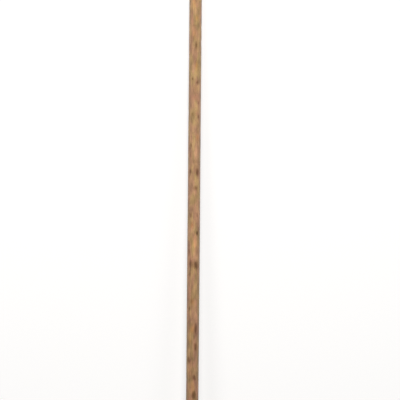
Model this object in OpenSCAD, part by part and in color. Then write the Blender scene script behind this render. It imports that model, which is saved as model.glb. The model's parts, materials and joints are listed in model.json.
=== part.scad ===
// Long-handled wooden hay rake, lying on the ground on the tips of its teeth
// and the rounded end of its pole. A round pole is tenoned and wedged through a
// tapered head, pegs are driven up into the head as teeth, and three bent rods
// pass through the pole and brace the head on both sides.
//
// The rake's own axes: X runs along the head, +Y along the pole to the held end,
// and the bows lie in the XY plane. The last step lays the rake on the ground.

/* [Pole] */
// Length of the pole, from the front of the head to the rounded end
pole_l = 1830; // [1500:10:2100]
// Diameter of the pole where it is held
pole_d = 28.6; // [25:0.2:31]
// Diameter of the thicker stretch that the bows pass through
throat_d = 32; // [31.5:0.5:38]
// Thick stretch left beyond the outer bow
throat_past_bow = 26; // [15:1:60]
// Length of the slope from the thick stretch down to the pole
throat_slope_l = 160; // [80:5:260]
// Diameter of the round tenon that goes through the head
tenon_d = 22; // [18:0.5:24]
// Length of the shaved slope from the thick stretch down to the tenon
tenon_slope_l = 46; // [25:1:60]
// Rounding at the held end
butt_round = 10; // [4:0.5:12]

/* [Head] */
// Height of the head at its middle
head_h = 38; // [34:0.5:46]
// Height of the head at its ends
head_end_h = 28; // [25:0.5:33]
// Depth of the head, front to back, at its middle
head_w = 34; // [31:0.5:42]
// Depth of the head at its ends
head_end_w = 28; // [26:0.5:30]
// Width of the arris planed off every long edge
head_arris = 4; // [1:0.25:6]
// Bevel round each end of the head
head_end_bevel = 3; // [1:0.5:5]
// Wood left beyond the last tooth on each side
head_past_tooth = 25; // [18:1:40]
// Angle that the teeth lean back towards the pole
tooth_lean = 10; // [0:0.5:15]

/* [Teeth] */
// Number of teeth, an even number so that the pole stands between two
tooth_count = 14; // [12:2:16]
// Distance from tooth to tooth
tooth_pitch = 50; // [44:0.5:60]
// Distance from the head's front face to the row of teeth
tooth_setback = 15; // [12:0.5:17]
// Diameter of a tooth's shank, inside the head
shank_d = 11; // [8:0.5:12]
// Diameter of a tooth at its shoulder, under the head
tooth_d = 14; // [13:0.25:17]
// Diameter of a tooth at its tip
tip_d = 7; // [5:0.25:9]
// Length of a tooth below the head
tooth_l = 102; // [70:1:140]
// Length of the even, thick part of a tooth before it starts to taper
tooth_even_l = 22; // [10:1:50]
// Length of shank that stands out of the top of the head
shank_proud = 5; // [2:0.5:10]
// Bevel round the top of a shank
shank_bevel = 1.5; // [0.5:0.25:2]

/* [Bows] */
// Diameter of a bow's rod
bow_d = 9.5; // [7:0.25:11]
// Straight length of a bow's legs behind the head
bow_leg_l = 30; // [10:1:80]
// Straight length of a bow on each side of the pole
bow_shoulder_l = 2; // [1:0.5:10]

/* [Wedge and nails] */
// Thickness of the tenon's wedge at the head's front face
wedge_t = 5; // [3:0.25:7]
// Thickness of the wedge at its inner end
wedge_tip_t = 1; // [0.5:0.1:2]
// Depth that the wedge is driven in
wedge_l = 16; // [10:0.5:19]
// Diameter of a nail's wire
nail_d = 2.4; // [1.6:0.1:3]
// Diameter of a nail's head
nail_head_d = 5.6; // [4:0.2:7]
// Thickness of a nail's head
nail_head_t = 1.2; // [0.8:0.1:1.6]
// Depth that a nail's head is set into the wood
nail_set = 0.8; // [0.3:0.1:1]
// Length of a nail through a bow
bow_nail_l = 24; // [19:0.5:26]
// Length of the nail through the tenon
tenon_nail_l = 33; // [28:0.5:35]
// Distance of the tenon's nail behind the middle of the head
tenon_nail_back = 8; // [5:0.5:10]

/* [Fit] */
// Clearance left all round a tenon, shank, bow or nail in its hole
fit_gap = 0.05; // [0.02:0.01:0.15]

/* [Hidden] */
BOW_NAMES = ["inner_bow", "middle_bow", "outer_bow"];
bow_count = len(BOW_NAMES);
function tooth_name(i) = str("tooth_", i < 10 ? "0" : "", i);
$fn = 64;

ash = [0.71, 0.55, 0.38];
grey_ash = [0.62, 0.49, 0.36];
peg_wood = [0.66, 0.52, 0.37];
bent_wood = [0.60, 0.43, 0.28];
iron = [0.26, 0.21, 0.18];

over = 1;            // how far a cutting shape runs past what it cuts
arc_steps = 8;       // straight steps in a quarter-round edge
head_steps = 14;     // straight steps in the head's curved back and top

// Head, in its own axes: front face and underside are flat, top and back are arched.
head_l = (tooth_count - 1) * tooth_pitch + 2 * head_past_tooth;
front_y = -head_w / 2;
under_z = -head_h / 2;
function bulge(x) = 1 - pow(2 * x / head_l, 2);
function head_height(x) = head_end_h + (head_h - head_end_h) * bulge(x);
function head_depth(x) = head_end_w + (head_w - head_end_w) * bulge(x);
function head_top(x) = under_z + head_height(x);
HEAD_STATIONS = concat(
    [-head_l / 2],
    [for (i = [0 : head_steps]) (head_l / 2 - head_end_bevel) * (2 * i / head_steps - 1)],
    [head_l / 2]
);

// Teeth, numbered from the -X end.
tooth_row_y = front_y + tooth_setback;
function tooth_x(i) = (i - (tooth_count + 1) / 2) * tooth_pitch;

// Bows: each foot stands midway between two teeth, and the outer one's just
// inside the last tooth.
outer_foot_pitches = tooth_count / 2 - 1;
bow_flat = throat_d / 2 + bow_shoulder_l;
bow_arc_y = head_w / 2 + bow_leg_l;
function bow_foot(k) = round(outer_foot_pitches * k / bow_count) * tooth_pitch;
function bow_arc_r(k) = bow_foot(k) - bow_flat;
function bow_top(k) = bow_arc_y + bow_arc_r(k);

// Pole, along its own axis from the head's front face.
pole_front_y = front_y / cos(tooth_lean);
pole_end_y = pole_front_y + pole_l;
tenon_skew = tenon_d / 2 * tan(tooth_lean);
tenon_end_y = -pole_front_y + tenon_skew;
throat_y = tenon_end_y + tenon_slope_l;
throat_end_y = bow_top(bow_count) + throat_past_bow;
pole_y = throat_end_y + throat_slope_l;

// Resting on the ground: the rake tips about X until the round tooth tips and
// the rounded edge of the pole's end stand on one plane.
tip_r = tip_d / 2;
tip_reach = -under_z + tooth_l - tip_r;
tip_centre_y = tooth_row_y * cos(tooth_lean) + tip_reach * sin(tooth_lean);
tip_centre_z = tooth_row_y * sin(tooth_lean) - tip_reach * cos(tooth_lean);
rest_rise = -tip_centre_z - (pole_d / 2 - butt_round);
rest_run = pole_end_y - butt_round - tip_centre_y;
rest_tilt = acos((butt_round - tip_r) / norm([rest_rise, rest_run])) - atan2(rest_run, rest_rise);
rest_z = tip_r - (tip_centre_z * cos(rest_tilt) - tip_centre_y * sin(rest_tilt));

// The origin is on the ground, half way between the head's front and the pole's end.
function rest_y(y, z) = y * cos(rest_tilt) + z * sin(rest_tilt);
head_skew = tooth_lean - rest_tilt;
nearest_y = min([for (z = [under_z + head_arris, -under_z - head_arris])
    front_y * cos(head_skew) - z * sin(head_skew)]);
farthest_y = rest_y(pole_end_y - butt_round, pole_d / 2 - butt_round) + butt_round;
rest_shift_y = -(nearest_y + farthest_y) / 2;

module rest_pose() {
    translate([0, rest_shift_y, rest_z]) rotate([-rest_tilt, 0, 0]) children();
}

module in_head() {
    rotate([tooth_lean, 0, 0]) children();
}

module along_pole() {
    rotate([-90, 0, 0]) children();
}

// Everything in front of the head's front face, where ends are sawn off flush.
module past_front_face() {
    in_head() translate([-head_l, front_y - head_w, -head_l]) cube([2 * head_l, head_w, 2 * head_l]);
}

// A wire nail with its head at z = 0 and its point down.
module nail(length) {
    tang = 1.5 * nail_d;
    rotate_extrude() polygon([
        [0, nail_head_t], [nail_head_d / 2 - nail_head_t / 3, nail_head_t],
        [nail_head_d / 2, nail_head_t * 2 / 3], [nail_head_d / 2, 0],
        [nail_d / 2, 0], [nail_d / 2, tang - length], [0, -length]
    ]);
}

// The hole that a nail makes, with the dimple that its head is set in.
module nail_hole(length) {
    translate([0, 0, -length - fit_gap]) cylinder(d = nail_d + 2 * fit_gap, h = length + over);
    cylinder(d = nail_head_d + 2 * fit_gap, h = nail_head_t + over);
}

// Places of the nails, each with the nail's head seated at the local origin.
module at_handle_nails() {
    for (k = [1 : bow_count]) translate([0, bow_top(k), throat_d / 2 - nail_set]) children();
}

module at_head_nails() {
    in_head() for (k = [1 : bow_count]) for (side = [-1, 1])
        translate([side * bow_foot(k), 0, head_top(bow_foot(k)) - nail_set]) children();
}

module at_tenon_nail() {
    in_head() translate([0, tenon_nail_back, head_top(0) - nail_set]) children();
}

// The wedge-shaped slot sawn in the tenon's end, upright so that it spreads
// along the head's grain and can't split the head.
module wedge_shape(gap) {
    slope = (wedge_t - wedge_tip_t) / wedge_l;
    out_l = tenon_skew + over;
    front_t = wedge_t + slope * out_l;
    translate([0, 0, -tenon_d]) linear_extrude(2 * tenon_d) polygon([
        [-front_t / 2 - gap, pole_front_y - out_l], [front_t / 2 + gap, pole_front_y - out_l],
        [wedge_tip_t / 2 + gap, pole_front_y + wedge_l + gap],
        [-wedge_tip_t / 2 - gap, pole_front_y + wedge_l + gap]
    ]);
}

module pole_turning() {
    along_pole() rotate_extrude() polygon(concat(
        [[0, pole_front_y - tenon_skew - over], [tenon_d / 2, pole_front_y - tenon_skew - over],
         [tenon_d / 2, tenon_end_y], [throat_d / 2, throat_y], [throat_d / 2, throat_end_y],
         [pole_d / 2, pole_y]],
        [for (i = [0 : arc_steps]) let (a = 90 * i / arc_steps)
            [pole_d / 2 - butt_round + butt_round * cos(a), pole_end_y - butt_round + butt_round * sin(a)]],
        [[0, pole_end_y]]
    ));
}

module handle() color(ash) {
    difference() {
        pole_turning();
        past_front_face();
        wedge_shape(fit_gap);
        for (k = [1 : bow_count]) translate([-throat_d, bow_top(k), 0])
            rotate([0, 90, 0]) cylinder(d = bow_d + 2 * fit_gap, h = 2 * throat_d);
        at_handle_nails() nail_hole(bow_nail_l);
        at_tenon_nail() nail_hole(tenon_nail_l);
    }
}

module tenon_wedge() color(peg_wood) {
    difference() {
        intersection() {
            wedge_shape(0);
            along_pole() translate([0, 0, pole_front_y - tenon_d]) cylinder(d = tenon_d, h = 2 * tenon_d);
        }
        past_front_face();
    }
}

// How far the head reaches from its own axis at x, in the direction that one of
// its eight faces looks in: 0 is the back, 90 the top, 180 the front.
function head_reach(x, facing) =
    let (y = cos(facing) > 0 ? front_y + head_depth(x) : front_y)
    let (z = sin(facing) > 0 ? head_top(x) : under_z)
    let (planed = facing % 90 == 0 ? 0 : head_arris / sqrt(2))
    y * cos(facing) + z * sin(facing) - planed - max(0, abs(x) - head_l / 2 + head_end_bevel);

// A board across the head, sawn to the outline of two opposite faces.
module sawn_board(facing) {
    rotate([facing, 0, 0]) linear_extrude(2 * head_l, center = true) polygon(concat(
        [for (x = HEAD_STATIONS) [x, head_reach(x, facing)]],
        [for (x = HEAD_STATIONS) [-x, -head_reach(x, facing + 180)]]
    ));
}

// The square blank is sawn to its top and back curves, then the arrises go.
module head_blank() {
    intersection() {
        sawn_board(0);
        sawn_board(90);
        sawn_board(45);
        sawn_board(135);
    }
}

module head() color(grey_ash) {
    difference() {
        in_head() head_blank();
        along_pole() translate([0, 0, -head_w]) cylinder(d = tenon_d + 2 * fit_gap, h = 2 * head_w);
        in_head() for (i = [1 : tooth_count]) translate([tooth_x(i), tooth_row_y, -head_h])
            cylinder(d = shank_d + 2 * fit_gap, h = 2 * head_h);
        for (k = [1 : bow_count]) for (side = [-1, 1]) translate([side * bow_foot(k), 0, 0])
            along_pole() translate([0, 0, -head_w]) cylinder(d = bow_d + 2 * fit_gap, h = 2 * head_w);
        at_head_nails() nail_hole(bow_nail_l);
        at_tenon_nail() nail_hole(tenon_nail_l);
    }
}

// A peg with its shoulder at z = 0: shank up through the head, point down.
module tooth(i) color(peg_wood) {
    shank_l = head_height(tooth_x(i)) + shank_proud;
    in_head() translate([tooth_x(i), tooth_row_y, under_z]) rotate_extrude() polygon(concat(
        [[0, shank_l], [shank_d / 2 - shank_bevel, shank_l], [shank_d / 2, shank_l - shank_bevel],
         [shank_d / 2, 0], [tooth_d / 2, 0], [tooth_d / 2, -tooth_even_l]],
        [for (i = [0 : arc_steps]) let (a = 90 * i / arc_steps)
            [tip_r * cos(a), tip_r - tooth_l - tip_r * sin(a)]]
    ));
}

// Half of a bow: one leg, a quarter bend, and the straight length to the middle.
module half_bow(k) {
    leg_l = bow_arc_y - pole_front_y + bow_d;
    translate([bow_foot(k), 0, 0]) along_pole() translate([0, 0, bow_arc_y - leg_l])
        cylinder(d = bow_d, h = leg_l);
    translate([bow_flat, bow_arc_y, 0]) rotate_extrude(angle = 90, $fn = 96)
        translate([bow_arc_r(k), 0]) circle(d = bow_d, $fn = 48);
}

module bow(k) color(bent_wood) {
    difference() {
        union() {
            half_bow(k);
            mirror([1, 0, 0]) half_bow(k);
            translate([-bow_flat, bow_top(k), 0]) rotate([0, 90, 0]) cylinder(d = bow_d, h = 2 * bow_flat);
        }
        past_front_face();
        at_handle_nails() nail_hole(bow_nail_l);
        at_head_nails() nail_hole(bow_nail_l);
    }
}

module bow_nails_handle() color(iron) at_handle_nails() nail(bow_nail_l);
module bow_nails_head() color(iron) at_head_nails() nail(bow_nail_l);
module tenon_nail() color(iron) at_tenon_nail() nail(tenon_nail_l);

rest_pose() handle();
rest_pose() head();
rest_pose() tenon_wedge();
rest_pose() tenon_nail();
rest_pose() bow_nails_handle();
rest_pose() bow_nails_head();
for (k = [1 : bow_count]) rest_pose() bow(k);
for (i = [1 : tooth_count]) rest_pose() tooth(i);
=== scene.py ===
# Wooden hay rake lying on a pale floor, seen from straight above its pole.
import json
import math
import random

import bmesh
import bpy
import numpy as np
from mathutils import Matrix, Vector


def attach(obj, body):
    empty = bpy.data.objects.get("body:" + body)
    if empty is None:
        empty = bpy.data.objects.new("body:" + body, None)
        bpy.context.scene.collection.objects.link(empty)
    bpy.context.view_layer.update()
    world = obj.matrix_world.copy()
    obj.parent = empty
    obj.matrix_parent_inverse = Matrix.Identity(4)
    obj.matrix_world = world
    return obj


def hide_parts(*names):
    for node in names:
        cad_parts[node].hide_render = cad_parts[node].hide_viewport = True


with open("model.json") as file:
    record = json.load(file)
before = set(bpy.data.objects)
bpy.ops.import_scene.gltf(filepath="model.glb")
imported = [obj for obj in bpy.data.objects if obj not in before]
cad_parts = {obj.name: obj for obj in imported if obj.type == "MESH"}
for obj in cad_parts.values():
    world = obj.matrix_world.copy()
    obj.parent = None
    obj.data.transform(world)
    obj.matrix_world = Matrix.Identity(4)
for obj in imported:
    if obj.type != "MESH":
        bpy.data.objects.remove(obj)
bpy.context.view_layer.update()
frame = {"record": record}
print("frame loaded")

mm = 0.001
near, close = 1e-5, 1e-4  # metres, for finding vertices by their place
smoothAngle = math.radians(28)
mounts = {mount["name"]: mount for mount in frame["record"]["mounts"]}

# The rake's own axes: the pole runs along +Y and the head is centred on the origin
poleAxis = Vector(mounts["pole_grip"]["axis"]).normalized()
gripPoint = Vector(mounts["pole_grip"]["pos_m"])
headFacing = Vector(mounts["head_front"]["axis"]).normalized()
headFront = Vector(mounts["head_front"]["pos_m"])
restTilt = math.atan2(-poleAxis.z, poleAxis.y)
headLean = math.atan2(-headFacing.z, -headFacing.y) + restTilt
headDepth = 34 * mm  # at the middle of the head
toCentre = (headFront - gripPoint).dot(headFacing) - headDepth / 2
rakeOrigin = gripPoint + poleAxis * toCentre / poleAxis.dot(headFacing)
rakePlace = Matrix.Translation(rakeOrigin) @ Matrix.Rotation(-restTilt, 4, "X")
headPlace = rakePlace @ Matrix.Rotation(headLean, 4, "X")
frontPoint = Matrix.Rotation(headLean, 3, "X") @ Vector((0, -headDepth / 2, 0))
frontNormal = Matrix.Rotation(headLean, 3, "X") @ Vector((0, -1, 0))
pointDown = Matrix.Rotation(-math.pi / 2, 4, "X")
sawnBack = 0.2 * mm  # ends that are sawn flush stay this far behind the head's front


# Handling of objects and selections

def objectMode():
    bpy.ops.object.mode_set(mode="OBJECT")


def deselectAll():
    if bpy.context.object and bpy.context.object.mode != "OBJECT":
        objectMode()
    bpy.ops.object.select_all(action="DESELECT")


def selectAll():
    bpy.ops.mesh.select_all(action="SELECT")


def linkNew(thing):
    bpy.context.scene.collection.objects.link(thing)


def selectOnly(piece):
    deselectAll()
    piece.select_set(True)
    bpy.context.view_layer.objects.active = piece


def nameNew(name):
    piece = bpy.context.object
    piece.name = piece.data.name = name
    bpy.ops.object.transform_apply(location=True, rotation=True, scale=True)
    return piece


def copyPiece(pattern, name):
    piece = pattern.copy()
    piece.data = pattern.data.copy()
    piece.name = piece.data.name = name
    linkNew(piece)
    return piece


def applyPlace(piece, place):
    selectOnly(piece)
    piece.matrix_world = place
    bpy.ops.object.transform_apply(location=True, rotation=True, scale=True)


def editPiece(piece):
    selectOnly(piece)
    bpy.ops.object.mode_set(mode="EDIT")
    bpy.ops.mesh.select_all(action="DESELECT")


def pick(piece, mode, test):
    bpy.ops.mesh.select_mode(type=mode)
    bpy.ops.mesh.select_all(action="DESELECT")
    cage = bmesh.from_edit_mesh(piece.data)
    parts = {"VERT": cage.verts, "EDGE": cage.edges}[mode]
    for part in parts:
        if test(part):
            part.select_set(True)
    bmesh.update_edit_mesh(piece.data)


def edgeRun(edge):
    return edge.verts[1].co - edge.verts[0].co


def extrudeOn(steps, run):
    for _ in range(steps):
        bpy.ops.mesh.extrude_region_move(TRANSFORM_OT_translate={"value": run})


def sawOff(point, facing):
    selectAll()
    bpy.ops.mesh.bisect(plane_co=point, plane_no=facing, use_fill=True, clear_outer=True)


def applyModifier(piece, kind, **settings):
    selectOnly(piece)
    modifier = piece.modifiers.new(kind.lower(), kind)
    for setting, value in settings.items():
        setattr(modifier, setting, value)
    bpy.ops.object.modifier_apply(modifier=modifier.name)


def recalculate(piece):
    editPiece(piece)
    selectAll()
    bpy.ops.mesh.remove_doubles(threshold=near)
    bpy.ops.mesh.normals_make_consistent(inside=False)
    objectMode()


def joinPieces(pieces, name):
    selectOnly(pieces[0])
    for piece in pieces:
        piece.select_set(True)
    bpy.ops.object.join()
    pieces[0].name = name
    return pieces[0]


def cutAway(piece, cutters, operation="DIFFERENCE"):
    cutter = joinPieces(cutters, "cutter") if len(cutters) > 1 else cutters[0]
    applyModifier(piece, "BOOLEAN", object=cutter, operation=operation, solver="EXACT")
    bpy.data.objects.remove(cutter)


# Unevenness of the surface: size is a wave's length on each axis, in metres
def roughen(piece, size, strength, seed, inward, group=""):
    texture = bpy.data.textures.new("unevenness", "CLOUDS")
    texture.noise_scale = 1
    texture.noise_depth = 2
    stretch = bpy.data.objects.new("stretch", None)
    linkNew(stretch)
    stretch.scale = size
    stretch.location = [seed * side for side in size]
    bpy.context.view_layer.update()
    applyModifier(piece, "DISPLACE", texture=texture, texture_coords="OBJECT", mid_level=inward,
                  texture_coords_object=stretch, strength=strength, vertex_group=group)
    bpy.data.objects.remove(stretch)
    bpy.data.textures.remove(texture)


def fadeIn(distance, length):
    return min(1, max(0, distance / length))


def weightBody(piece, weight):
    group = piece.vertex_groups.new(name="body")
    for vertex in piece.data.vertices:
        group.add([vertex.index], weight(vertex.co), "REPLACE")


def readPoints(piece):
    points = np.empty(len(piece.data.vertices) * 3)
    piece.data.vertices.foreach_get("co", points)
    return points.reshape(-1, 3)


def dent(piece, place, depth, size):
    pick(piece, "VERT", lambda vertex: False)
    cage = bmesh.from_edit_mesh(piece.data)
    nearest = min(cage.verts, key=lambda vertex: (vertex.co - place).length_squared)
    inward = -nearest.normal * depth
    nearest.select_set(True)
    bmesh.update_edit_mesh(piece.data)
    bpy.ops.transform.translate(
        value=inward, use_proportional_edit=True, proportional_edit_falloff="SMOOTH",
        proportional_size=size)


def layDown(piece, place, material, slot, *nodes):
    selectOnly(piece)
    bpy.ops.object.shade_smooth_by_angle(angle=smoothAngle)
    applyPlace(piece, place)
    piece.data.materials.clear()
    piece.data.materials.append(material)
    piece.vertex_groups.clear()
    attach(piece, "root")
    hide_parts(*nodes)


# Camera, above the upper half of the pole

view = {
    "height": 6.0,
    "frameWidth": 0.9152,  # metres across the picture, at the pole
    "row": 0.4215,  # the picture's middle along the pole
    "aside": 0.0139,  # the pole stands left of the middle
    "roll": 0.479,  # degrees
    "farthest": 50,
}


def addCamera():
    camera = bpy.data.cameras.new("viewer")
    camera.sensor_width = 36
    poleHeight = gripPoint.z + (view["row"] - gripPoint.y) * poleAxis.z / poleAxis.y
    camera.lens = camera.sensor_width * (view["height"] - poleHeight) / view["frameWidth"]
    camera.clip_end = view["farthest"]
    viewer = bpy.data.objects.new("viewer", camera)
    linkNew(viewer)
    viewer.location = (view["aside"], view["row"], view["height"])
    viewer.rotation_euler = (0, 0, math.radians(view["roll"]))
    bpy.context.scene.camera = viewer


addCamera()
print("camera placed")


# Shader building

def plug(tree, node, values):
    for socket, value in values.items():
        if isinstance(value, bpy.types.NodeSocket):
            tree.links.new(value, node.inputs[socket])
        else:
            node.inputs[socket].default_value = value
    return node


def addNode(tree, kind, values=None, **settings):
    node = tree.nodes.new("ShaderNode" + kind)
    for setting, value in settings.items():
        setattr(node, setting, value)
    return plug(tree, node, values or {})


def calc(tree, operation, *values):
    return addNode(tree, "Math", dict(enumerate(values)), operation=operation).outputs[0]


def plus(tree, first, second):
    return calc(tree, "ADD", first, second)


def times(tree, first, second):
    return calc(tree, "MULTIPLY", first, second)


# A noise from 0 to 1, made to swing round zero
def swing(tree, noise, amount):
    return calc(tree, "MULTIPLY_ADD", noise, amount, -amount / 2)


def vectorCalc(tree, operation, *values):
    return addNode(tree, "VectorMath", dict(enumerate(values)), operation=operation).outputs[0]


def scaled(tree, vector, factor):
    return addNode(tree, "VectorMath", {0: vector, "Scale": factor}, operation="SCALE").outputs[0]


def alongY(tree, vector):
    return addNode(tree, "SeparateXYZ", {0: vector}).outputs[1]


def ramp(tree, value, low, high, start=0.0, end=1.0):
    return addNode(tree, "MapRange", {0: value, 1: low, 2: high, 3: start, 4: end},
                   interpolation_type="SMOOTHSTEP").outputs[0]


def blend(tree, how, factor, first, second):
    return addNode(tree, "Mix", {0: factor, 6: first, 7: second}, data_type="RGBA",
                   blend_type=how, clamp_result=False).outputs[2]


def addBump(tree, height, strength, distance):
    return addNode(tree, "Bump", {
        "Height": height, "Strength": strength, "Distance": distance}).outputs[0]


def grainNoise(tree, vector, across, along, detail, offset, roughness=0.55):
    stretched = addNode(tree, "Mapping", {
        "Vector": vector, "Location": (offset, offset, offset),
        "Scale": (1 / across, 1 / along, 1 / across)}).outputs[0]
    return addNode(tree, "TexNoise", {
        "Vector": stretched, "Scale": 1.0, "Detail": detail, "Roughness": roughness}).outputs[0]


# A group that puts out a surface's colour, roughness and height
def newGroup(name, inputs):
    group = bpy.data.node_groups.new(name, "ShaderNodeTree")
    outputs = {"Color": "Color", "Roughness": "Float", "Height": "Float"}
    for way, sockets in (("INPUT", inputs), ("OUTPUT", outputs)):
        for label, kind in sockets.items():
            group.interface.new_socket(label, in_out=way, socket_type="NodeSocket" + kind)
    return group, group.nodes.new("NodeGroupInput").outputs, group.nodes.new("NodeGroupOutput")


# Sizes of each noise across and along the grain, in metres, then its detail and offset
grainNoises = {
    "wander": (0.018, 0.22, 2, 3.1), "ripple": (0.006, 0.05, 2, 8.4),
    "fibre": (0.0011, 0.04, 3, 1.7), "hair": (0.00035, 0.014, 2, 5.2),
    "pore": (0.00028, 0.0045, 0, 9.3), "patch": (0.009, 0.026, 2, 12.6),
    "hue": (0.013, 0.045, 2, 21.9),
}
ringFigure = {
    "wander": 0.009, "ripple": 0.0014,  # how far the rings stray, in metres
    "lateRise": (0.4, 0.88), "lateFall": (0.94, 1.0),  # parts of a year's width
    "poreEdge": (0.62, 0.74), "hueEdge": (0.38, 0.62),
}
woodTints = {
    "rosy": (1.05, 0.94, 0.98, 1), "olive": (0.98, 1.03, 0.82, 1), "pore": (0.42, 0.36, 0.32, 1),
}


# Year rings round a heart line, fibres, pores and soft mottling; Y runs along the grain
def makeWoodFigure():
    tree, given, result = newGroup("woodFigure", {
        "Vector": "Vector", "Heart": "Vector", "Heart Slope": "Vector", "Ring Width": "Float",
        "Early Wood": "Color", "Late Wood": "Color", "Fibre": "Float", "Pores": "Float",
        "Mottle": "Float"})
    vector = given["Vector"]
    noise = {name: grainNoise(tree, vector, *sizes) for name, sizes in grainNoises.items()}

    heartLine = scaled(tree, given["Heart Slope"], alongY(tree, vector))
    fromHeart = vectorCalc(tree, "SUBTRACT", vector, given["Heart"])
    fromHeart = vectorCalc(tree, "SUBTRACT", fromHeart, heartLine)
    flat = vectorCalc(tree, "MULTIPLY", fromHeart, (1, 0, 1))
    distance = addNode(tree, "VectorMath", {0: flat}, operation="LENGTH").outputs["Value"]
    stray = plus(tree, times(tree, noise["wander"], ringFigure["wander"]),
                 times(tree, noise["ripple"], ringFigure["ripple"]))
    phase = calc(tree, "DIVIDE", plus(tree, distance, stray), given["Ring Width"])
    ring = calc(tree, "FRACT", phase)
    year = addNode(tree, "TexWhiteNoise", {"W": calc(tree, "FLOOR", phase)},
                   noise_dimensions="1D").outputs[0]
    late = times(tree, ramp(tree, ring, *ringFigure["lateRise"]),
                 ramp(tree, ring, *ringFigure["lateFall"], 1, 0))
    late = times(tree, late, calc(tree, "MULTIPLY_ADD", year, 0.6, 0.4))
    pores = times(tree, ramp(tree, noise["pore"], *ringFigure["poreEdge"]),
                  calc(tree, "MULTIPLY_ADD", late, -0.8, 1.0))

    color = blend(tree, "MIX", late, given["Early Wood"], given["Late Wood"])
    fibreTone = plus(tree, swing(tree, noise["fibre"], 1.1), swing(tree, noise["hair"], 0.6))
    fibreTone = calc(tree, "MULTIPLY_ADD", fibreTone, given["Fibre"], 1.0)
    patchTone = times(tree, calc(tree, "SUBTRACT", noise["patch"], 0.5), given["Mottle"])
    patchTone = calc(tree, "MULTIPLY_ADD", patchTone, 1.5, 1.0)
    color = scaled(tree, color, times(tree, fibreTone, patchTone))
    tint = blend(tree, "MIX", ramp(tree, noise["hue"], *ringFigure["hueEdge"]),
                 woodTints["rosy"], woodTints["olive"])
    color = blend(tree, "MULTIPLY", given["Mottle"], color, tint)
    color = blend(tree, "MULTIPLY", times(tree, pores, given["Pores"]), color, woodTints["pore"])

    roughness = plus(tree, calc(tree, "MULTIPLY_ADD", noise["fibre"], 0.3, 0.36),
                     times(tree, pores, 0.15))
    height = plus(tree, times(tree, noise["fibre"], 0.55), times(tree, noise["hair"], 0.25))
    height = plus(tree, height, times(tree, late, 0.2))
    height = calc(tree, "SUBTRACT", height, times(tree, pores, 0.5))
    plug(tree, result, {"Color": color, "Roughness": roughness, "Height": height})
    return tree


markNames = ("darkMark", "rosyMark", "paleMark", "amberMark")
markTints = {
    "darkMark": (0.42, 0.34, 0.27, 1), "rosyMark": (1.02, 0.86, 0.95, 1),
    "paleMark": (1.35, 1.4, 1.4, 1), "amberMark": (1.1, 0.9, 0.6, 1),
}


# Flecks, stains and worn patches, painted on each piece as four masks with ragged edges
def makeUseMarks():
    tree, given, result = newGroup("useMarks", {
        "Vector": "Vector", "Color": "Color", "Roughness": "Float", "Height": "Float"})
    ragged = grainNoise(tree, given["Vector"], 0.0018, 0.009, 3, 4.4)
    masks = {}
    for name in markNames:
        painted = addNode(tree, "Attribute", attribute_name=name).outputs["Fac"]
        masks[name] = times(tree, painted, calc(tree, "MULTIPLY_ADD", ragged, 1.2, 0.4))
    color = given["Color"]
    for name in ("rosyMark", "amberMark", "paleMark"):
        color = blend(tree, "MULTIPLY", masks[name], color, markTints[name])
    dark = ramp(tree, masks["darkMark"], 0.03, 0.75)
    color = blend(tree, "MULTIPLY", dark, color, markTints["darkMark"])
    plug(tree, result, {
        "Color": color,
        "Roughness": calc(tree, "MULTIPLY_ADD", dark, 0.12, given["Roughness"]),
        "Height": calc(tree, "MULTIPLY_ADD", dark, -0.4, given["Height"])})
    return tree


woodFigure = makeWoodFigure()
useMarks = makeUseMarks()


def addGroup(tree, group, values):
    node = tree.nodes.new("ShaderNodeGroup")
    node.node_tree = group
    return plug(tree, node, values).outputs


def emptyTree(owner):
    owner.use_nodes = True
    owner.node_tree.nodes.clear()
    return owner.node_tree


def startMaterial(name):
    material = bpy.data.materials.new(name)
    tree = emptyTree(material)
    shader = addNode(tree, "BsdfPrincipled")
    addNode(tree, "OutputMaterial", {0: shader.outputs[0]})
    return material, tree, shader


# Object coordinates brought back to the piece's own axes, with Y along the grain
def pieceCoordinates(tree, place):
    coordinates = addNode(tree, "TexCoord").outputs["Object"]
    inverse = place.inverted()
    return addNode(tree, "Mapping", {
        "Vector": coordinates, "Rotation": inverse.to_euler(),
        "Location": inverse.to_translation()}).outputs[0]


# For pieces that are bent, turned or copied: their grain is stored on the mesh
def grainCoordinates(tree):
    return addNode(tree, "Attribute", attribute_name="grain").outputs["Vector"]


def storeGrain(piece, points):
    attribute = piece.data.attributes.new("grain", "FLOAT_VECTOR", "POINT")
    attribute.data.foreach_set("vector", np.asarray(points, np.float32).ravel())


def finishWood(tree, shader, look, vector):
    wood = addGroup(tree, woodFigure, {"Vector": vector, **look["figure"]})
    color = wood["Color"]
    if "darkening" in look:
        fade = ramp(tree, alongY(tree, vector), *look["darkening"], 1, 0)
        color = blend(tree, "MULTIPLY", fade, color, look["darkTint"])
    marked = addGroup(tree, useMarks, {
        "Vector": vector, "Color": color, "Roughness": wood["Roughness"],
        "Height": wood["Height"]})
    plug(tree, shader, {
        "Base Color": marked["Color"],
        "Roughness": plus(tree, marked["Roughness"], look["rougher"]),
        "Normal": addBump(tree, marked["Height"], look["bump"], 0.0003),
        "IOR": 1.5,
        "Sheen Weight": 0.2})


# A mark has its place along and around, its width and length in mm, and its strength
def paintMarks(piece, layers, measure, points=None):
    markFade = 1.6
    if points is None:
        points = readPoints(piece)
    for name in markNames:
        values = np.zeros(len(points))
        for along, around, wide, long, strength in layers.get(name, ()):
            sideways, lengthways = measure(points, along, around)
            reach = (sideways / wide * markFade) ** 2 + (lengthways / long * markFade) ** 2
            values = values + strength * np.exp(-reach)
        rule = layers.get(name + "Rule")
        if rule is not None:
            values = values + rule(points)
        attribute = piece.data.attributes.new(name, "FLOAT", "POINT")
        attribute.data.foreach_set("value", np.clip(values, -1, 1.2).astype(np.float32))


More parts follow.
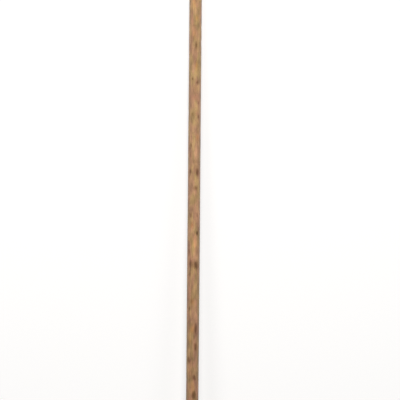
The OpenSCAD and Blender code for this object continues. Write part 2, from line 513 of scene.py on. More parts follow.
# Marks by chance, each drawn from the given spans
def strewMarks(chance, counts, along, wide, long, strength):
    return {name: [(chance.uniform(*along), chance.uniform(-180, 180), chance.uniform(*wide),
                    chance.uniform(*long), chance.uniform(*strength)) for _ in range(count)]
            for name, count in zip(markNames, counts)}


# Angle in radians round a piece, from the direction that around gives in degrees
def turnFrom(sine, cosine, around):
    angle = np.degrees(np.arctan2(sine, cosine)) - around
    return np.radians((angle + 180) % 360 - 180)


# Distances round and along from a mark on a rod that runs along Y
def measureRod(radius):
    return lambda points, along, around: (
        turnFrom(points[:, 0], points[:, 2], around) * radius, points[:, 1] / mm - along)


# Pole

pole = {
    "sides": 64, "radius": 14.3, "tenon": 22, "front": -20.5,
    # distance behind the head's middle and diameter, in mm
    "stations": ((19.2, 22), (65.2, 32), (355, 32), (515, 28.6), (1802.74, 28.6)),
    "ringStep": 4.0,
    "endRound": 10.0, "endSteps": 6, "end": 1812.74,
    "evenUntil": 30, "evenFrom": 1790, "evenFade": (30, 50),  # no unevenness at the two ends
    "flats": 0.00022, "flatSize": (0.007, 0.2, 0.007),
    "waviness": 0.0007, "waveSize": (0.05, 0.35, 0.05),
    "bowTops": (129, 229, 329), "bowHole": 10.1,
    "nailSeat": 5.9, "nailSeatHeight": 14.8,
    "dents": 16, "dentSpan": (100, 1780), "dentDepth": (0.3, 0.8), "dentSize": (6, 13),
    "grimeReach": 7.5,  # round the places where the bows pass
    "scattered": (95, 40, 44, 60), "scatterSpan": (12, 1740),
    "seenLength": 985, "seenAngle": 72,  # the stretch that has its own marks
}
poleMarks = {
    "darkMark": [
        (62, -47, 4, 16, 0.4), (94, -9, 14, 7, 0.35), (140, 10, 5, 21, 0.6),
        (216, -22, 4, 6, 0.8), (225, 23, 5, 9, 0.65), (271, 40, 5, 9, 0.6),
        (298, -19, 8, 9, 0.45), (303, 40, 5, 9, 0.6), (369, -34, 5, 9, 0.5),
        (390, -37, 5, 11, 0.5), (429, -37, 5, 9, 0.6), (406, 0, 16, 7, 0.3),
        (430, 32, 7, 16, 0.8), (467, 18, 11, 9, 0.6), (529, -29, 6, 11, 0.5),
        (529, 31, 5, 9, 0.5), (570, 35, 5, 8, 0.9), (614, -46, 5, 14, 0.6),
        (639, -29, 7, 18, 0.6), (644, 26, 9, 18, 0.8), (664, -33, 6, 9, 0.5),
        (742, -36, 6, 9, 0.55), (788, 26, 7, 25, 0.7), (829, 26, 6, 16, 0.85),
        (859, -40, 6, 14, 0.85), (899, 18, 8, 11, 0.7), (939, 16, 8, 16, 1.0)],
    "rosyMark": [
        (83, -24, 6, 11, 0.6), (239, 0, 7, 14, 0.5), (259, 0, 16, 11, 0.8),
        (296, 18, 6, 9, 0.8), (424, 7, 7, 11, 0.5), (641, -10, 9, 16, 0.7),
        (701, -26, 7, 9, 0.5), (831, 52, 5, 11, 1.0), (868, -14, 9, 21, 0.6),
        (890, -21, 9, 14, 1.0)],
    "paleMark": [
        (40, -13, 8, 23, 0.6), (111, 0, 8, 27, 0.5), (211, 0, 7, 18, 0.5),
        (328, 7, 7, 30, 0.5), (369, 14, 7, 16, 0.5), (394, 11, 7, 16, 0.5),
        (454, 5, 9, 18, 0.5), (564, 2, 7, 14, 0.6), (593, 12, 9, 32, 0.85),
        (625, 12, 9, 11, 0.6), (753, 16, 7, 16, 0.7), (920, 2, 8, 21, 0.6)],
    "amberMark": [
        (40, -13, 8, 23, 0.5), (76, 14, 5, 8, 0.8), (113, -10, 8, 20, 0.5),
        (186, 14, 6, 16, 0.75), (351, 29, 5, 11, 0.8), (552, -15, 6, 11, 0.7),
        (593, 12, 9, 32, 0.4), (726, -7, 7, 11, 0.8), (790, -7, 8, 16, 0.8),
        (815, -21, 6, 9, 0.7), (920, 2, 8, 21, 0.5),
        (64, -47, 4, 18, -0.7), (136, -31, 9, 9, -0.7), (193, -47, 5, 9, -0.8),
        (710, 19, 7, 9, -0.6), (811, 6, 7, 14, -0.7), (884, 42, 4, 11, -1.0)],  # greyish
}
poleLook = {
    "figure": {
        "Early Wood": (0.466, 0.284, 0.151, 1), "Late Wood": (0.329, 0.189, 0.098, 1),
        "Ring Width": 0.0021, "Heart": (0.026, 0, -0.021), "Heart Slope": (0.012, 0, -0.007),
        "Fibre": 0.55, "Pores": 0.55, "Mottle": 1.0},
    "bump": 0.5, "rougher": 0.0,
    "darkening": (0.75, 1.75), "darkTint": (0.72, 0.67, 0.68, 1),  # darker towards the head end, fading out by the held end
}


# The pole's marks are placed along it from its held end
def measureOnPole(points, along, around):
    return measureRod(pole["radius"])(points, pole["end"] - along, around)


def scatterPoleMarks(layers):
    chance = random.Random(11)
    for name, count in zip(markNames, pole["scattered"]):
        for _ in range(count):
            along = chance.uniform(*pole["scatterSpan"])
            around = chance.uniform(-180, 180)
            if along < pole["seenLength"] and abs(around) < pole["seenAngle"]:
                around += 180
            strength = chance.uniform(0.35, 0.9)
            if name == "amberMark" and chance.random() < 0.35:
                strength = -strength
            layers[name].append((along, around, chance.uniform(4, 10), chance.uniform(8, 24),
                                 strength))


def startRod(name, sides, diameter, x, y):
    deselectAll()
    bpy.ops.mesh.primitive_circle_add(
        vertices=sides, radius=diameter / 2 * mm, fill_type="NGON",
        rotation=(math.pi / 2, 0, 0), location=(x * mm, y * mm, 0))
    piece = nameNew(name)
    editPiece(piece)
    selectAll()
    return piece


# A round piece along Y, extruded from station to station
def drawOut(stations, sides, name):
    y, diameter = stations[0]
    piece = startRod(name, sides, diameter, 0, y)
    for nextY, nextDiameter in stations[1:]:
        extrudeOn(1, (0, (nextY - y) * mm, 0))
        scale = nextDiameter / diameter
        bpy.ops.transform.resize(value=(scale, 1, scale), center_override=(0, nextY * mm, 0))
        y, diameter = nextY, nextDiameter
    selectAll()
    bpy.ops.mesh.normals_make_consistent(inside=False)
    return piece


# Rings between two stations, in one or two rounds because a cut makes at most a hundred
def addRings(piece, low, high, step):
    parts = math.ceil((high - low) / (90 * step))
    rounds = [(parts - 1, high - low),
              (round((high - low) / parts / step), (high - low) / parts)]
    for cuts, span in rounds:
        if cuts > 0:
            pick(piece, "EDGE", lambda edge: abs(edgeRun(edge).y) > span * 0.9 * mm and
                 low * mm - near < min(vertex.co.y for vertex in edge.verts) and
                 max(vertex.co.y for vertex in edge.verts) < high * mm + near)
            bpy.ops.mesh.subdivide(number_cuts=cuts)


def shapePole():
    stations = [(pole["front"], pole["tenon"]), *pole["stations"]]
    endY, endDiameter = stations[-1]
    rounding = pole["endRound"]
    for step in range(1, pole["endSteps"] + 1):
        angle = math.pi / 2 * step / pole["endSteps"]
        stations.append((endY + rounding * math.sin(angle) * 0.99,
                         endDiameter - 2 * rounding * (1 - math.cos(angle))))
    piece = drawOut(stations, pole["sides"], "ashPole")
    for (low, _), (high, _) in zip(stations[:6], stations[1:6]):
        addRings(piece, low, high, pole["ringStep"])
    objectMode()
    frontFade, endFade = pole["evenFade"]
    weightBody(piece, lambda point: min(
        fadeIn(point.y / mm - pole["evenUntil"], frontFade),
        fadeIn(pole["evenFrom"] - point.y / mm, endFade)))
    roughen(piece, pole["flatSize"], pole["flats"], 3.7, 0.55, "body")
    roughen(piece, pole["waveSize"], pole["waviness"], 9.1, 0.55, "body")
    chance = random.Random(5)
    editPiece(piece)
    for _ in range(pole["dents"]):
        angle = chance.uniform(0, 2 * math.pi)
        along = chance.uniform(*pole["dentSpan"])
        place = Vector((pole["radius"] * math.sin(angle), along,
                        pole["radius"] * math.cos(angle))) * mm
        dent(piece, place, chance.uniform(*pole["dentDepth"]) * mm,
             chance.uniform(*pole["dentSize"]) * mm)
    objectMode()
    return piece


# A round cutter or plug between two places, all in mm
def makeHoleCutter(diameter, start, end, sides=40):
    run = (Vector(end) - Vector(start)) * mm
    deselectAll()
    bpy.ops.mesh.primitive_cylinder_add(
        vertices=sides, radius=diameter / 2 * mm, depth=run.length,
        location=(Vector(start) + Vector(end)) / 2 * mm,
        rotation=run.to_track_quat("Z", "Y").to_euler())
    return nameNew("holeCutter")


wedge = {
    "thick": 5, "thin": 1, "length": 16, "width": 30, "past": 3, "kerf": 0.25, "sawnBack": 0.06,
}
poleFront = -headDepth / 2 / math.cos(headLean)


# The wedge's own shape, or its kerf where it is grown
def wedgeBlock(name, grown=0.0):
    past = wedge["past"] * mm
    front, back = poleFront - past, poleFront + wedge["length"] * mm + grown / 2
    thin = wedge["thin"] * mm + grown
    slope = (wedge["thick"] - wedge["thin"]) / wedge["length"]
    thick = wedge["thick"] * mm + grown + slope * past
    deselectAll()
    bpy.ops.mesh.primitive_cube_add(
        size=1, location=(0, (front + back) / 2, 0),
        scale=(thick, back - front, wedge["width"] * mm))
    piece = nameNew(name)
    editPiece(piece)
    pick(piece, "VERT", lambda vertex: vertex.co.y > (front + back) / 2)
    bpy.ops.transform.resize(value=(thin / thick, 1, 1), center_override=(0, 0, 0))
    objectMode()
    return piece


def drillPole(piece):
    cutters = [wedgeBlock("kerf", wedge["kerf"] * mm)]
    for top in pole["bowTops"]:
        cutters.append(makeHoleCutter(pole["bowHole"], (-30, top, 0), (30, top, 0)))
        cutters.append(makeHoleCutter(pole["nailSeat"], (0, top, pole["nailSeatHeight"]),
                                      (0, top, 20), 20))
    cutAway(piece, cutters)
    editPiece(piece)
    sawOff(frontPoint - frontNormal * sawnBack, frontNormal)
    objectMode()


def poleGrime(points):
    return sum(0.9 * np.exp(-(np.hypot(points[:, 1] / mm - top, points[:, 2] / mm)
                              / pole["grimeReach"]) ** 4) for top in pole["bowTops"])


def makePole():
    material, tree, shader = startMaterial("poleWood")
    finishWood(tree, shader, poleLook, pieceCoordinates(tree, rakePlace))
    piece = shapePole()
    drillPole(piece)
    scatterPoleMarks(poleMarks)
    poleMarks["darkMarkRule"] = poleGrime
    paintMarks(piece, poleMarks, measureOnPole)
    layDown(piece, rakePlace, material, "pole_wood", "handle")


makePole()
print("pole done")


# Head, in its own axes: X along the head, Y towards the pole, Z up

head = {
    "length": 700, "height": 38, "endHeight": 28, "depth": 34, "endDepth": 28,
    "front": -17, "under": -19,
    "stations": 28, "arris": 4.15, "endBevel": 3.0, "wornEdge": 0.9,
    "shankHole": 11.5, "tenonHole": 22.3, "bowHole": 10.0,
    "nailSeat": 5.9, "nailSeatDepth": 0.9,
    "unevenness": 0.00045, "waveSize": (0.12, 0.014, 0.014), "rippleSize": (0.03, 0.006, 0.006),
    "dents": 18, "dentDepth": (0.4, 1.2), "dentSize": (4, 10),
    # place, run and inward direction, then length, width and depth
    "dryingChecks": (
        ((346, -4, 0), (1, 0, 0.05), (0, 0, 1), 46, 1.1, 11),
        ((349, 4, -8), (1, 0.1, 0), (0, 1, 0.4), 30, 0.8, 6),
        ((-348, 2, 2), (1, 0, 0.1), (0, 0.5, 1), 54, 1.2, 10),
        ((-349, -6, -9), (1, 0, 0), (0, 1, 0), 24, 0.7, 5)),
    "markCounts": (46, 26, 40, 34),
}
# How far grime reaches, in mm
headGrime = {
    "nailAlong": 13, "nailAcross": 4.5, "tooth": 8.2, "bow": 7.4, "tenon": 13.5, "end": 7,
}
headLook = {
    "figure": {
        "Early Wood": (0.36, 0.225, 0.125, 1), "Late Wood": (0.235, 0.14, 0.078, 1),
        "Ring Width": 0.0027, "Heart": (0.022, 0, -0.047), "Heart Slope": (0.01, 0, 0.014),
        "Fibre": 0.62, "Pores": 0.6, "Mottle": 0.7},
    "bump": 0.6, "rougher": 0.08,
}
toothRow = {"count": 14, "pitch": 50, "setback": 15}
toothY = head["front"] + toothRow["setback"]
bowFeet = (100, 200, 300)
footNails = [(side * foot, 0) for foot in bowFeet for side in (-1, 1)]
tenonNail = (0, 8)


def bulge(x):
    return 1 - (2 * x / head["length"]) ** 2


def headHeight(x):
    return head["endHeight"] + (head["height"] - head["endHeight"]) * bulge(x)


def headThickness(x):
    return head["endDepth"] + (head["depth"] - head["endDepth"]) * bulge(x)


def headTop(x):
    return headHeight(x) + head["under"]


def headBack(x):
    return headThickness(x) + head["front"]


def toothX(number):
    return (number - (toothRow["count"] + 1) / 2) * toothRow["pitch"]


def shapeHead():
    half = head["length"] / 2 * mm
    deselectAll()
    bpy.ops.mesh.primitive_cube_add(
        size=1, scale=(head["length"] * mm, head["depth"] * mm, head["height"] * mm))
    piece = nameNew("rakeHead")
    editPiece(piece)
    pick(piece, "EDGE", lambda edge: abs(edgeRun(edge).x) > half)
    bpy.ops.mesh.subdivide(number_cuts=head["stations"] - 1)
    corner = Vector((0, head["front"], head["under"])) * mm
    for step in range(head["stations"] + 1):
        x = head["length"] * (step / head["stations"] - 0.5)
        pick(piece, "VERT", lambda vertex: abs(vertex.co.x - x * mm) < close)
        bpy.ops.transform.resize(center_override=corner, value=(
            1, headThickness(x) / head["depth"], headHeight(x) / head["height"]))
    pick(piece, "EDGE", lambda edge: abs(edgeRun(edge).x) > 0.01)
    bpy.ops.mesh.bevel(offset=head["arris"] * mm, segments=1, affect="EDGES")
    pick(piece, "EDGE", lambda edge: all(
        abs(abs(vertex.co.x) - half) < near for vertex in edge.verts))
    bpy.ops.mesh.bevel(offset=head["endBevel"] * mm, segments=1, affect="EDGES")
    objectMode()
    applyModifier(piece, "BEVEL", width=head["wornEdge"] * mm, segments=2,
                  limit_method="ANGLE", angle_limit=math.radians(20))
    editPiece(piece)
    pick(piece, "EDGE", lambda edge: abs(edgeRun(edge).x) > 0.015)
    bpy.ops.mesh.subdivide(number_cuts=5)
    pick(piece, "EDGE", lambda edge: abs(edgeRun(edge).x) < close and edge.calc_length() > 0.012)
    bpy.ops.mesh.subdivide(number_cuts=7)
    objectMode()
    weightBody(piece, lambda point: fadeIn(half - 0.004 - abs(point.x), 0.01))
    roughen(piece, head["waveSize"], head["unevenness"], 4.3, 1.0, "body")
    roughen(piece, head["rippleSize"], head["unevenness"] * 0.45, 7.7, 1.0, "body")
    chance = random.Random(23)
    editPiece(piece)
    for _ in range(head["dents"]):
        x = chance.uniform(-320, 320)
        y = chance.choice((head["front"], headBack(x), chance.uniform(-12, 10)))
        place = Vector((x, y, chance.choice((head["under"], headTop(x))))) * mm
        dent(piece, place, chance.uniform(*head["dentDepth"]) * mm,
             chance.uniform(*head["dentSize"]) * mm)
    objectMode()
    return piece


# A drying check is a long thin sliver taken out of the surface
def makeCheckCutter(place, run, inward, length, width, depth):
    deselectAll()
    bpy.ops.mesh.primitive_uv_sphere_add(
        segments=8, ring_count=28, radius=1,
        scale=(width / 2 * mm, depth * mm, length / 2 * mm))
    cutter = nameNew("checkCutter")
    texture = bpy.data.textures.new("wander", "CLOUDS")
    texture.noise_scale = 0.011
    applyModifier(cutter, "DISPLACE", texture=texture, direction="X", strength=0.0022)
    bpy.data.textures.remove(texture)
    side = Vector(inward).cross(Vector(run)).normalized()
    depthways = Vector(run).cross(side).normalized()
    turn = Matrix((side, depthways, Vector(run).normalized())).transposed().to_4x4()
    applyPlace(cutter, Matrix.Translation(Vector(place) * mm) @ turn)
    return cutter


def drillHead(piece):
    poleRun = Matrix.Rotation(-headLean, 3, "X") @ Vector((0, 50, 0))
    cutters = [makeHoleCutter(head["tenonHole"], -poleRun, poleRun, 56)]
    for number in range(1, toothRow["count"] + 1):
        x = toothX(number)
        cutters.append(makeHoleCutter(head["shankHole"], (x, toothY, -40), (x, toothY, 40), 32))
    for x, _ in footNails:
        place = Vector((x, 0, 0))
        cutters.append(makeHoleCutter(head["bowHole"], place - poleRun, place + poleRun, 32))
    cutAway(piece, cutters)
    seats = []
    for x, y in (*footNails, tenonNail):
        seatZ = headTop(x) - head["nailSeatDepth"]
        seats.append(makeHoleCutter(head["nailSeat"], (x, y, seatZ), (x, y, seatZ + 10), 20))
    cutAway(piece, seats)
    cutAway(piece, [makeCheckCutter(*check) for check in head["dryingChecks"]])
    editPiece(piece)
    selectAll()
    bpy.ops.mesh.remove_doubles(threshold=0.000002)
    bpy.ops.mesh.fill_holes(sides=0)
    objectMode()


def measureOnHead(points, along, around):
    sideways = turnFrom(points[:, 1], points[:, 2], around) * head["height"] / 2
    return sideways, points[:, 0] / mm - along


def darkenHead(points):
    x, y, z = points.T / mm
    value = np.zeros(len(x))
    for nailX, nailY in (*footNails, tenonNail):
        spread = np.hypot((x - nailX) / headGrime["nailAlong"],
                          (y - nailY) / headGrime["nailAcross"])
        value += 0.95 * np.exp(-spread ** 2) * (z > 5)
    for number in range(1, toothRow["count"] + 1):
        fromTooth = np.hypot(x - toothX(number), y - toothY)
        value += 0.7 * np.exp(-(fromTooth / headGrime["tooth"]) ** 6)
    for foot in (*bowFeet, 0):
        reach = headGrime["tenon"] if foot == 0 else headGrime["bow"]
        fromBore = np.hypot(np.abs(x) - foot, z + y * math.tan(headLean))
        value += 0.75 * np.exp(-(fromBore / reach) ** 6)
    return value + 0.35 * np.exp(-((np.abs(x) - head["length"] / 2) / headGrime["end"]) ** 2)


# Paler where the four long edges are rubbed
def rubHead(points):
    x, y, z = points.T / mm
    toTop = np.minimum(headTop(x) - z, z - head["under"])
    toSide = np.minimum(y - head["front"], headBack(x) - y)
    return 0.55 * np.exp(-((toTop + toSide - 4) / 1.6) ** 2)


def makeHead():
    material, tree, shader = startMaterial("headWood")
    finishWood(tree, shader, headLook,
               pieceCoordinates(tree, headPlace @ Matrix.Rotation(-math.pi / 2, 4, "Z")))
    piece = shapeHead()
    drillHead(piece)
    layers = strewMarks(random.Random(31), head["markCounts"], (-345, 345), (4, 11), (10, 42),
                        (0.3, 0.8))
    layers.update(darkMarkRule=darkenHead, paleMarkRule=rubHead)
    paintMarks(piece, layers, measureOnHead)
    layDown(piece, headPlace, material, "head_wood", "head")


makeHead()
print("head done")


# Teeth: one drawn peg, copied, then each copy is whittled with its own flats

tooth = {
    "sides": 28, "shank": 11,
    # distance below the head and diameter, in mm
    "shoulder": ((0, 11), (0.05, 13.3), (0.6, 13.9), (22, 14), (98.5, 7)),
    "proud": 5, "shankBevel": 1.5,
    "flats": (9, 13), "flatDepth": (0.15, 0.5),
    "measuredAt": 60, "radiusThere": 5.26,
    "unevenness": 0.00022, "waveSize": (0.005, 0.03, 0.005),
    "markCounts": (5, 3, 4, 4), "markRadius": 6,
}
toothLook = {
    "figure": {
        "Early Wood": (0.40, 0.26, 0.148, 1), "Late Wood": (0.29, 0.175, 0.095, 1),
        "Ring Width": 0.0019, "Heart": (0, 0, 0), "Heart Slope": (0.01, 0, -0.01),
        "Fibre": 0.5, "Pores": 0.45, "Mottle": 0.6},
    "bump": 0.45, "rougher": 0.02,
}


def shapePeg():
    shankTop = -(head["height"] + tooth["proud"])
    bevel = tooth["shankBevel"]
    tipY, tipDiameter = tooth["shoulder"][-1]
    rounding = [(tipY + tipDiameter / 2 * math.sin(angle), tipDiameter * math.cos(angle))
                for angle in (0.3, 0.6, 0.9, 1.15, 1.35)]
    stations = [(shankTop, tooth["shank"] - 2 * bevel),
                (shankTop + bevel / 2, tooth["shank"] - bevel * 0.9),
                (shankTop + bevel, tooth["shank"]), *tooth["shoulder"], *rounding]
    peg = drawOut(stations, tooth["sides"], "peg")
    pick(peg, "EDGE", lambda edge: abs(edgeRun(edge).y) > 0.015)
    bpy.ops.mesh.subdivide(number_cuts=9)
    objectMode()
    return peg


# The flats are cut on a block, and the peg keeps what lies inside it
def whittle(piece, chance):
    deselectAll()
    bpy.ops.mesh.primitive_cube_add(size=1, location=(0, 0.03, 0), scale=(0.04, 0.2, 0.04))
    block = nameNew("whittledBlock")
    editPiece(block)
    (thickY, thickDiameter), (tipY, tipDiameter) = tooth["shoulder"][-2:]
    taper = math.atan2((thickDiameter - tipDiameter) / 2, tipY - thickY)
    middle = Vector((0, tooth["measuredAt"] * mm, 0))
    turn = chance.uniform(0, 6.28)
    count = chance.randint(*tooth["flats"])
    for cut in range(count):
        angle = turn + 2 * math.pi * (cut + chance.uniform(-0.3, 0.3)) / count
        out = Vector((math.sin(angle), 0, math.cos(angle)))
        slope = taper + chance.uniform(-0.004, 0.010)
        normal = out * math.cos(slope) + Vector((0, math.sin(slope), 0))
        depth = chance.uniform(*tooth["flatDepth"])
        sawOff(middle + out * (tooth["radiusThere"] - depth) * mm, normal)
    bpy.ops.mesh.normals_make_consistent(inside=False)
    objectMode()
    cutAway(piece, [block], "INTERSECT")


def toothMarks(chance):
    layers = strewMarks(chance, tooth["markCounts"], (0, 100), (3, 7), (6, 22), (0.3, 0.8))
    shade = chance.uniform(-0.12, 0.3)

    def grime(points):
        y = points[:, 1] / mm
        return shade + 0.75 * np.exp(-((y - 1) / 5) ** 2) + 0.5 * np.exp(-((y + 42) / 9) ** 2)

    def rubbed(points):
        y = points[:, 1] / mm
        return 0.75 / (1 + np.exp(-(y - 84) / 7))

    layers.update(darkMarkRule=grime, paleMarkRule=rubbed)
    return layers


def makeTeeth():
    material, tree, shader = startMaterial("toothWood")
    finishWood(tree, shader, toothLook, grainCoordinates(tree))
    peg = shapePeg()
    for number in range(1, toothRow["count"] + 1):
        chance = random.Random(100 + number)
        piece = copyPiece(peg, "peg%02d" % number)
        editPiece(piece)
        shankScale = ((headHeight(toothX(number)) + tooth["proud"])
                      / (head["height"] + tooth["proud"]))
        pick(piece, "VERT", lambda vertex: vertex.co.y < -near)
        bpy.ops.transform.resize(value=(1, shankScale, 1), center_override=(0, 0, 0))
        objectMode()
        roughen(piece, tooth["waveSize"], tooth["unevenness"], number * 1.7, 1.0)
        whittle(piece, chance)
        paintMarks(piece, toothMarks(chance), measureRod(tooth["markRadius"]))
        heart = np.array((chance.uniform(-0.02, 0.02), number * 0.4, chance.uniform(-0.02, 0.02)))
        storeGrain(piece, readPoints(piece) + heart)
        foot = Vector((toothX(number), toothY, head["under"])) * mm
        place = headPlace @ Matrix.Translation(foot) @ pointDown
        layDown(piece, place, material, "tooth_wood", "tooth_%02d" % number)
    bpy.data.objects.remove(peg)


makeTeeth()
print("teeth done")


# Bows: a rod drawn up one leg, spun round the bend, across the pole and down again

bow = {
    "diameter": 9.5, "sides": 24, "flat": 18, "arcCentre": 47, "start": -22,
    "step": 5.5, "legSteps": 12, "flatSteps": 8,
    "unevenness": 0.0003, "waveSize": (0.008, 0.008, 0.008),
    "markSpacing": (22, 32, 24, 30),
}
bowLook = {
    "figure": {
        "Early Wood": (0.36, 0.205, 0.105, 1), "Late Wood": (0.25, 0.135, 0.068, 1),
        "Ring Width": 0.0017, "Heart": (0.011, 0, -0.006), "Heart Slope": (0, 0, 0.004),
        "Fibre": 0.55, "Pores": 0.45, "Mottle": 0.7},
    "bump": 0.5, "rougher": 0.02,
}


def shapeBow(foot, name):
    radius = (foot - bow["flat"]) * mm
    centreY, start, flat = bow["arcCentre"] * mm, bow["start"] * mm, bow["flat"] * mm
    bendSteps = round(radius * math.pi / 2 / (bow["step"] * mm))
    legStep = (centreY - start) / bow["legSteps"]
    piece = startRod(name, bow["sides"], bow["diameter"], -foot, bow["start"])
    bpy.ops.mesh.select_mode(type="FACE")
    extrudeOn(bow["legSteps"], (0, legStep, 0))
    bend = {"steps": bendSteps, "angle": math.pi / 2, "axis": (0, 0, 1)}
    bpy.ops.mesh.spin(center=(-flat, centreY, 0), **bend)
    extrudeOn(bow["flatSteps"], (bow["flat"] * 2 * mm / bow["flatSteps"], 0, 0))
    bpy.ops.mesh.spin(center=(flat, centreY, 0), **bend)
    extrudeOn(bow["legSteps"], (0, -legStep, 0))
    sawOff(frontPoint - frontNormal * sawnBack, frontNormal)
    objectMode()
    recalculate(piece)
    return piece


# Each point's place across and along the bent rod
def bowGrain(points, foot):
    x, y, z = points.T
    flat, centreY = bow["flat"] * mm, bow["arcCentre"] * mm
    radius = foot * mm - flat
    out = np.abs(x) - flat
    angle = np.arctan2(y - centreY, np.maximum(out, 1e-9))
    middle = centreY + radius * math.pi / 2 + flat
    onLeg, onFlat = y < centreY, out < 0
    along = np.where(onLeg, y, np.where(onFlat, middle - np.abs(x), centreY + radius * angle))
    across = np.where(onLeg, np.abs(x) - foot * mm,
                      np.where(onFlat, y - centreY - radius, np.hypot(out, y - centreY) - radius))
    along = np.where(x > 0, 2 * middle - along, along)
    return np.stack((across, along, z), 1)


def bowMarks(foot, chance):
    length = 2 * (bow["arcCentre"] + (foot - bow["flat"]) * math.pi / 2 + bow["flat"])
    counts = [round(length / spacing) for spacing in bow["markSpacing"]]
    layers = strewMarks(chance, counts, (0, length), (3, 7), (7, 26), (0.3, 0.85))

    def grime(grain):
        along = grain[:, 1] / mm
        fromPole = np.abs(along - length / 2)
        fromHead = np.minimum(np.abs(along - 17), np.abs(length - along - 17))
        return 0.7 * np.exp(-((fromPole - 16) / 4) ** 2) + 0.6 * np.exp(-(fromHead / 5) ** 2)

    layers["darkMarkRule"] = grime
    return layers


def makeBows():
    material, tree, shader = startMaterial("bowWood")
    finishWood(tree, shader, bowLook, grainCoordinates(tree))
    for number, (foot, node) in enumerate(zip(bowFeet, ("inner_bow", "middle_bow", "outer_bow"))):
        piece = shapeBow(foot, "bentBow%d" % (number + 1))
        roughen(piece, bow["waveSize"], bow["unevenness"], 2.9 + number, 0.75)
        grain = bowGrain(readPoints(piece), foot)
        paintMarks(piece, bowMarks(foot, random.Random(200 + number)),
                   measureRod(bow["diameter"] / 2), grain)
        storeGrain(piece, grain + np.array((0, number * 3.0, 0)))
        layDown(piece, rakePlace, material, "bow_wood", node)


makeBows()
print("bows done")


# Wedge in the tenon's end

wedgeLook = {
    "figure": {
        "Early Wood": (0.31, 0.19, 0.105, 1), "Late Wood": (0.2, 0.118, 0.062, 1),
        "Ring Width": 0.0016, "Heart": (0, 0, 0.02), "Heart Slope": (0, 0, 0),
        "Fibre": 0.6, "Pores": 0.5, "Mottle": 0.5},
    "bump": 0.6, "rougher": 0.1,
}


def makeWedge():
    material, tree, shader = startMaterial("wedgeWood")
    finishWood(tree, shader, wedgeLook, grainCoordinates(tree))
    piece = wedgeBlock("tenonWedge")
    cutAway(piece, [makeHoleCutter(pole["tenon"], (0, -30, 0), (0, 10, 0), 48)], "INTERSECT")
    editPiece(piece)
    sawOff(frontPoint - frontNormal * wedge["sawnBack"] * mm, frontNormal)
    objectMode()
    paintMarks(piece, {"darkMarkRule": lambda points: np.full(len(points), 0.35)}, None)
    storeGrain(piece, readPoints(piece) + np.array((0.4, 0, 0.1)))
    layDown(piece, rakePlace, material, "wedge_wood", "tenon_wedge")


makeWedge()
print("wedge done")


# Nails

nail = {
    "sides": 14,
    # distance below the seat of the nail's head and diameter, in mm
    "head": ((-1.15, 3.4), (-1.0, 4.6), (-0.6, 5.4), (-0.15, 5.6), (0, 5.3), (0.02, 2.4)),
    "wire": 2.4, "point": 0.5, "tang": 3.6,
    "bowNail": 24, "tenonNail": 33,
    "onPole": 15.2, "intoHead": 0.8,
    "unevenness": 0.00035, "waveSize": (0.0022, 0.0022, 0.0022),
}


rustLook = {
    "Iron": (0.06, 0.052, 0.048, 1), "Rust": (0.2, 0.082, 0.034, 1),
    "Bright Rust": (0.33, 0.155, 0.06, 1), "Coverage": 0.6,
}


def makeRust():
    tree, given, result = newGroup("rustCoat", {
        "Vector": "Vector", "Iron": "Color", "Rust": "Color", "Bright Rust": "Color",
        "Coverage": "Float"})
    coarse = grainNoise(tree, given["Vector"], 0.0016, 0.0016, 4, 2.2, 0.65)
    fine = grainNoise(tree, given["Vector"], 0.0004, 0.0004, 3, 6.6, 0.6)
    rusted = ramp(tree, plus(tree, coarse, swing(tree, given["Coverage"], 0.6)), 0.42, 0.62)
    speck = blend(tree, "MIX", ramp(tree, fine, 0.45, 0.65), given["Rust"], given["Bright Rust"])
    plug(tree, result, {
        "Color": blend(tree, "MIX", rusted, given["Iron"], speck),
        "Roughness": calc(tree, "MULTIPLY_ADD", rusted, 0.35, 0.5),
        "Height": plus(tree, fine, rusted)})
    return tree


def makeNails(name, node, length, places, material):
    stations = [*nail["head"], (length - nail["tang"], nail["wire"]), (length, nail["point"])]
    pattern = drawOut(stations, nail["sides"], "nail")
    objectMode()
    nails = []
    for number, place in enumerate(places):
        piece = copyPiece(pattern, "nail")
        roughen(piece, nail["waveSize"], nail["unevenness"], 1.3 + number * 2.1, 0.8)
        applyPlace(piece, place @ pointDown)
        nails.append(piece)
    bpy.data.objects.remove(pattern)
    piece = joinPieces(nails, name) if len(nails) > 1 else nails[0]
    piece.name = piece.data.name = name
    recalculate(piece)
    layDown(piece, Matrix.Identity(4), material, "iron", node)


def nailUp():
    material, tree, shader = startMaterial("rustyIron")
    rust = addGroup(tree, makeRust(), {
        "Vector": addNode(tree, "TexCoord").outputs["Object"], **rustLook})
    plug(tree, shader, {
        "Base Color": rust["Color"],
        "Roughness": rust["Roughness"],
        "Normal": addBump(tree, rust["Height"], 0.6, 0.0002),
        "Metallic": 0.35})

    def onHead(x, y):
        return headPlace @ Matrix.Translation(Vector((x, y, headTop(x) - nail["intoHead"])) * mm)

    onPole = [rakePlace @ Matrix.Translation(Vector((0, top, nail["onPole"])) * mm)
              for top in pole["bowTops"]]
    makeNails("poleNails", "bow_nails_handle", nail["bowNail"], onPole, material)
    makeNails("headNails", "bow_nails_head", nail["bowNail"],
              [onHead(*spot) for spot in footNails], material)
    makeNails("tenonPin", "tenon_nail", nail["tenonNail"], [onHead(*tenonNail)], material)


nailUp()
print("nails done")


# Floor, lamps and surroundings

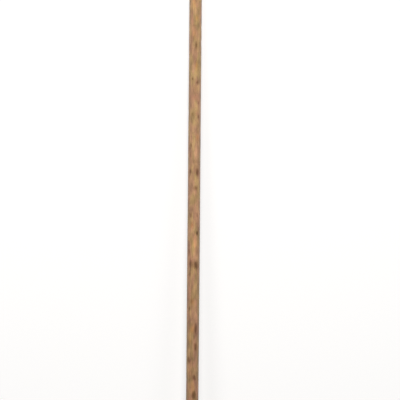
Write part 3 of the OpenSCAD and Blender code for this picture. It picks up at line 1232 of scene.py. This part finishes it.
studio = {
    "floorSize": 16.0,
    "floorColor": (0.47, 0.46, 0.45),
    "floorLiftAndPaintedFalloff": (0.507, 0.592),  # added for the camera, at the head and at the held end; less at the head, a painted fall-off of light
    "liftSpan": (-0.6, 1.2),
    "ambient": 0.2,
    # place, size, power and the point that it is aimed at
    "lamps": {
        "keyLamp": ((0.1, 1.1, 4.2), 1.6, 114.0, (0, 0.5, 0)),
        "rightLamp": ((2.6, 0.9, 2.7), 1.5, 14.0, (0, 0.3, 0)),
        "leftLamp": ((-1.9, 0.9, 3.0), 1.5, 22.0, (0, 0.3, 0)),
    },
}


# 1 for the camera, gloss and glass, 0 for the light on the rake
def seenRays(tree):
    path = addNode(tree, "LightPath").outputs
    return calc(tree, "MAXIMUM", path["Is Camera Ray"],
                calc(tree, "MAXIMUM", path["Is Glossy Ray"], path["Is Transmission Ray"]))


def addFloor():
    deselectAll()
    bpy.ops.mesh.primitive_grid_add(
        x_subdivisions=8, y_subdivisions=8, size=studio["floorSize"], location=(0, 0, 0))
    floor = nameNew("paperFloor")
    material = bpy.data.materials.new("palePaper")
    tree = emptyTree(material)
    paper = addNode(tree, "BsdfDiffuse", {"Color": (*studio["floorColor"], 1)})
    coordinates = addNode(tree, "TexCoord").outputs["Object"]
    # The lift for the camera falls towards the head end: a painted fall-off of light on the floor
    liftWithPaintedFalloff = ramp(tree, alongY(tree, coordinates), *studio["liftSpan"], *studio["floorLiftAndPaintedFalloff"])
    lift = addNode(tree, "Emission", {
        "Color": (1, 1, 1, 1), "Strength": times(tree, seenRays(tree), liftWithPaintedFalloff)})
    both = addNode(tree, "AddShader", {0: paper.outputs[0], 1: lift.outputs[0]})
    addNode(tree, "OutputMaterial", {0: both.outputs[0]})
    floor.data.materials.append(material)


def addLamp(name, place, size, power, aim):
    lamp = bpy.data.lights.new(name, "AREA")
    lamp.shape = "DISK"
    lamp.size = size
    lamp.energy = power
    holder = bpy.data.objects.new(name, lamp)
    linkNew(holder)
    holder.location = place
    holder.rotation_euler = (Vector(place) - Vector(aim)).to_track_quat("Z", "Y").to_euler()
    holder.visible_camera = False
    holder.visible_glossy = False


def addSurroundings():
    world = bpy.data.worlds.new("studioWalls")
    bpy.context.scene.world = world
    tree = emptyTree(world)
    strength = calc(tree, "MAXIMUM", seenRays(tree), studio["ambient"])
    walls = addNode(tree, "Background", {"Color": (1, 1, 1, 1), "Strength": strength})
    addNode(tree, "OutputWorld", {0: walls.outputs[0]})


addFloor()
for lampName, lampSettings in studio["lamps"].items():
    addLamp(lampName, *lampSettings)
addSurroundings()
bpy.context.scene.view_settings.view_transform = "Standard"
print("floor and lamps placed")
